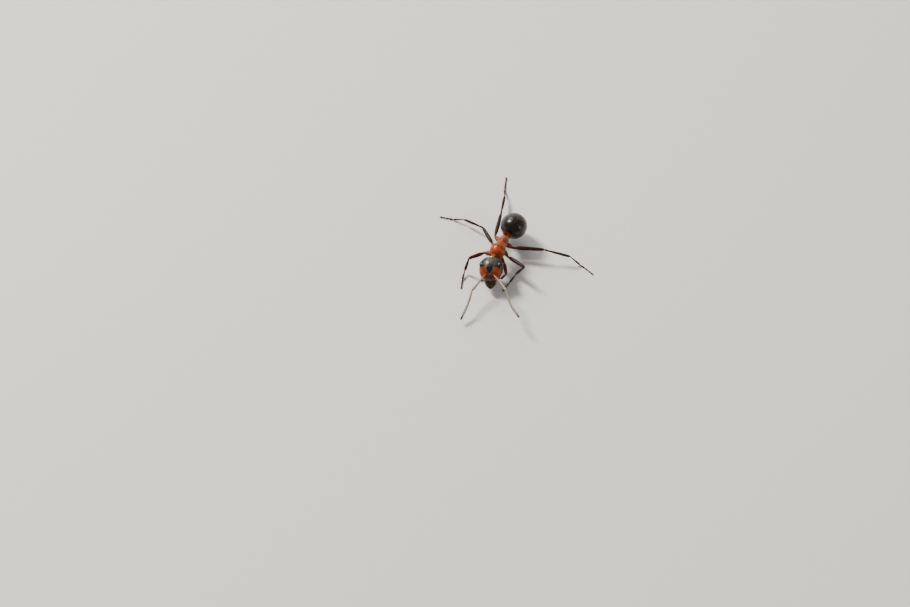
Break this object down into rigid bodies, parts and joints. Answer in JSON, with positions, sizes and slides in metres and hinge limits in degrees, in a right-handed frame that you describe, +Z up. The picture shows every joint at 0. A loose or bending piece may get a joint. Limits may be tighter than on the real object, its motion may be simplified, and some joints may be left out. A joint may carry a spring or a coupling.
{
  "type": "red wood ant worker model",
  "caption": "Life-size standing model of a red wood ant worker with a lowered head, raised feelers and wide-set legs, for display and teaching.",
  "frame": {"origin": "on the floor, under the middle of the whole ant's outline", "axes": "+Z up, the ant's thorax faces -Y, +X is the ant's left side"},
  "size_m": [0.0144, 0.0166, 0.0029],
  "materials": {
    "red_cuticle": "smooth orange-red chitin with fine grain",
    "brown_cuticle": "smooth dark brown chitin",
    "black_cuticle": "polished black chitin with a grey bloom",
    "eye": "faceted glossy black"
  },
  "bodies": {
    "root": {"coxa_fore_left": "red_cuticle", "coxa_fore_right": "red_cuticle", "coxa_hind_left": "red_cuticle", "coxa_hind_right": "red_cuticle", "coxa_mid_left": "red_cuticle", "coxa_mid_right": "red_cuticle", "eye_left": "eye", "eye_right": "eye", "femur_fore_left": "brown_cuticle", "femur_fore_right": "brown_cuticle", "femur_hind_left": "brown_cuticle", "femur_hind_right": "brown_cuticle", "femur_mid_left": "brown_cuticle", "femur_mid_right": "brown_cuticle", "funiculus_left": "brown_cuticle", "funiculus_right": "brown_cuticle", "gaster_1": "black_cuticle", "gaster_2": "black_cuticle", "gaster_3": "black_cuticle", "gaster_4": "black_cuticle", "gaster_5": "black_cuticle", "head": "red_cuticle", "mandible_left": "brown_cuticle", "mandible_right": "brown_cuticle", "mesothorax": "red_cuticle", "neck": "brown_cuticle", "petiole": "red_cuticle", "pronotum": "red_cuticle", "propodeum": "red_cuticle", "scape_left": "brown_cuticle", "scape_right": "brown_cuticle", "tarsus_fore_left": "brown_cuticle", "tarsus_fore_right": "brown_cuticle", "tarsus_hind_left": "brown_cuticle", "tarsus_hind_right": "brown_cuticle", "tarsus_mid_left": "brown_cuticle", "tarsus_mid_right": "brown_cuticle", "tibia_fore_left": "brown_cuticle", "tibia_fore_right": "brown_cuticle", "tibia_hind_left": "brown_cuticle", "tibia_hind_right": "brown_cuticle", "tibia_mid_left": "brown_cuticle", "tibia_mid_right": "brown_cuticle"}
  },
  "joints": []
}
